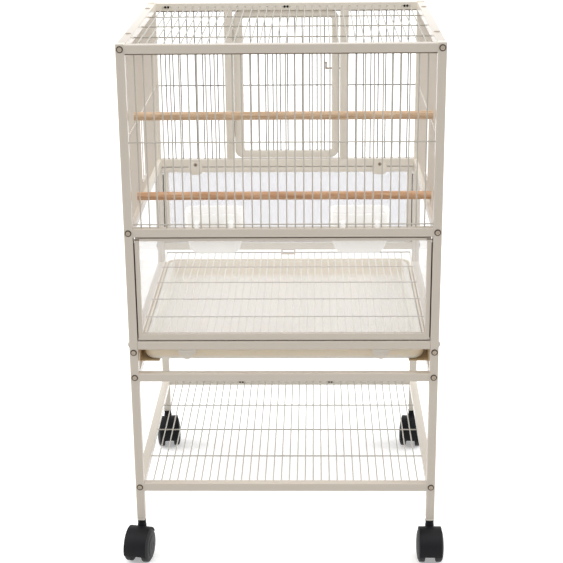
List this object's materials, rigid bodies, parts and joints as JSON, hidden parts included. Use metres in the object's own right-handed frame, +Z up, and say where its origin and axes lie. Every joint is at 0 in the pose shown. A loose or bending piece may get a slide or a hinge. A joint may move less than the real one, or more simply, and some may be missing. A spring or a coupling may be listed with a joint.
{
  "type": "bird breeding cage on a rolling stand",
  "caption": "Rolling breeding cage for small birds: wire upper part, clear-walled lower part with a hinged hatch, slide-out tray and grate, feed cups, perches and a wire shelf.",
  "frame": {"origin": "on the floor, at the middle of the rectangle of the four posts", "axes": "+Z up, +X to the right as seen from the front, -Y towards the front with the feed cups and the clear hatch"},
  "size_m": [0.6233, 0.6009, 1.0115],
  "materials": {
    "cream_tube": "satin cream powder coat",
    "cream_wire": "satin cream powder coat",
    "clear_pane": "clear glossy",
    "tray_plastic": "satin",
    "perch_wood": "sanded, unfinished",
    "cup_plastic": "milky, half clear",
    "grey_plastic": "satin",
    "dark_steel": "dull",
    "black_plastic": "satin"
  },
  "bodies": {
    "frame": {"post_front_left": "cream_tube", "post_front_right": "cream_tube", "post_rear_left": "cream_tube", "post_rear_right": "cream_tube", "rail_front_top": "cream_tube", "rail_front_mid": "cream_tube", "rail_front_bottom": "cream_tube", "rail_rear_top": "cream_tube", "rail_rear_mid": "cream_tube", "rail_rear_bottom": "cream_tube", "side_rails_top": "cream_tube", "side_rails_mid": "cream_tube", "side_rails_bottom": "cream_tube", "grille_front": "cream_wire", "grille_left": "cream_wire", "grille_right": "cream_wire", "grille_rear_left": "cream_wire", "grille_rear_right": "cream_wire", "grille_top": "cream_wire", "door_jambs": "cream_tube", "rear_pane": "clear_pane", "side_panes": "clear_pane", "tray_runners": "cream_tube", "tray_stops": "grey_plastic", "perch_upper": "perch_wood", "perch_lower": "perch_wood", "stand_post_front_left": "cream_tube", "stand_post_front_right": "cream_tube", "stand_post_rear_left": "cream_tube", "stand_post_rear_right": "cream_tube", "stand_rail_front": "cream_tube", "stand_rail_rear": "cream_tube", "stand_side_rails": "cream_tube", "shelf_rail_front": "cream_tube", "shelf_rail_rear": "cream_tube", "shelf_side_rails": "cream_tube", "shelf_grid": "cream_wire", "frame_bolts": "dark_steel", "panel_screws": "dark_steel", "post_plugs": "grey_plastic"},
    "rear_door": {"rear_door": "cream_tube"},
    "latch": {"door_latch": "cream_tube"},
    "hatch": {"hatch_frame": "cream_tube", "hatch_pane": "clear_pane"},
    "tab_left": {"turn_tab_left": "cream_tube"},
    "tab_right": {"turn_tab_right": "cream_tube"},
    "tray": {"tray": "tray_plastic"},
    "grate": {"grate": "cream_wire"},
    "feeder_door_left": {"feeder_door_left": "cream_wire"},
    "feeder_door_right": {"feeder_door_right": "cream_wire"},
    "cup_left": {"feed_cup_left": "cup_plastic"},
    "cup_right": {"feed_cup_right": "cup_plastic"},
    "caster_front_left": {"caster_front_left": "black_plastic"},
    "wheels_front_left": {"wheels_front_left": "black_plastic"},
    "caster_front_right": {"caster_front_right": "black_plastic"},
    "wheels_front_right": {"wheels_front_right": "black_plastic"},
    "caster_rear_left": {"caster_rear_left": "black_plastic"},
    "wheels_rear_left": {"wheels_rear_left": "black_plastic"},
    "caster_rear_right": {"caster_rear_right": "black_plastic"},
    "wheels_rear_right": {"wheels_rear_right": "black_plastic"}
  },
  "joints": [
    {"name": "rear_door_hinge", "type": "hinge", "parent": "frame", "child": "rear_door", "pos_m": [-0.113, 0.2743, 0.835], "axis": [0, 0, 1], "range_deg": [0, 150]},
    {"name": "latch_slide", "type": "slide", "parent": "rear_door", "child": "latch", "axis": [1, 0, 0], "range_m": [0, 0.01]},
    {"name": "hatch_hinge", "type": "hinge", "parent": "frame", "child": "hatch", "pos_m": [0, -0.263, 0.6505], "axis": [-1, 0, 0], "range_deg": [0, 95]},
    {"name": "tab_left_turn", "type": "hinge", "parent": "frame", "child": "tab_left", "pos_m": [-0.2, 0.2527, 0.663], "axis": [0, 1, 0], "continuous": true},
    {"name": "tab_right_turn", "type": "hinge", "parent": "frame", "child": "tab_right", "pos_m": [0.2, 0.2527, 0.663], "axis": [0, 1, 0], "continuous": true},
    {"name": "tray_slide", "type": "slide", "parent": "frame", "child": "tray", "axis": [0, 1, 0], "range_m": [0, 0.45]},
    {"name": "grate_slide", "type": "slide", "parent": "frame", "child": "grate", "axis": [0, 1, 0], "range_m": [0, 0.45]},
    {"name": "feeder_left_slide", "type": "slide", "parent": "frame", "child": "feeder_door_left", "axis": [0, 0, 1], "range_m": [-0.142, 0]},
    {"name": "feeder_right_slide", "type": "slide", "parent": "frame", "child": "feeder_door_right", "axis": [0, 0, 1], "range_m": [-0.142, 0]},
    {"name": "cup_left_lift", "type": "slide", "parent": "frame", "child": "cup_left", "axis": [0, 0, 1], "range_m": [0, 0.03]},
    {"name": "cup_right_lift", "type": "slide", "parent": "frame", "child": "cup_right", "axis": [0, 0, 1], "range_m": [0, 0.03]},
    {"name": "swivel_front_left", "type": "hinge", "parent": "frame", "child": "caster_front_left", "pos_m": [-0.282, -0.262, 0.079], "axis": [0, 0, 1], "continuous": true},
    {"name": "roll_front_left", "type": "hinge", "parent": "caster_front_left", "child": "wheels_front_left", "pos_m": [-0.28582, -0.28163, 0.0325], "axis": [0.9816, -0.1908, 0], "continuous": true},
    {"name": "swivel_front_right", "type": "hinge", "parent": "frame", "child": "caster_front_right", "pos_m": [0.282, -0.262, 0.079], "axis": [0, 0, 1], "continuous": true},
    {"name": "roll_front_right", "type": "hinge", "parent": "caster_front_right", "child": "wheels_front_right", "pos_m": [0.282, -0.282, 0.0325], "axis": [1, 0, 0], "continuous": true},
    {"name": "swivel_rear_left", "type": "hinge", "parent": "frame", "child": "caster_rear_left", "pos_m": [-0.282, 0.262, 0.079], "axis": [0, 0, 1], "continuous": true},
    {"name": "roll_rear_left", "type": "hinge", "parent": "caster_rear_left", "child": "wheels_rear_left", "pos_m": [-0.27887, 0.24225, 0.0325], "axis": [0.9877, 0.1564, 0], "continuous": true},
    {"name": "swivel_rear_right", "type": "hinge", "parent": "frame", "child": "caster_rear_right", "pos_m": [0.282, 0.262, 0.079], "axis": [0, 0, 1], "continuous": true},
    {"name": "roll_rear_right", "type": "hinge", "parent": "caster_rear_right", "child": "wheels_rear_right", "pos_m": [0.27922, 0.24219, 0.0325], "axis": [0.9903, -0.1392, 0], "continuous": true}
  ]
}
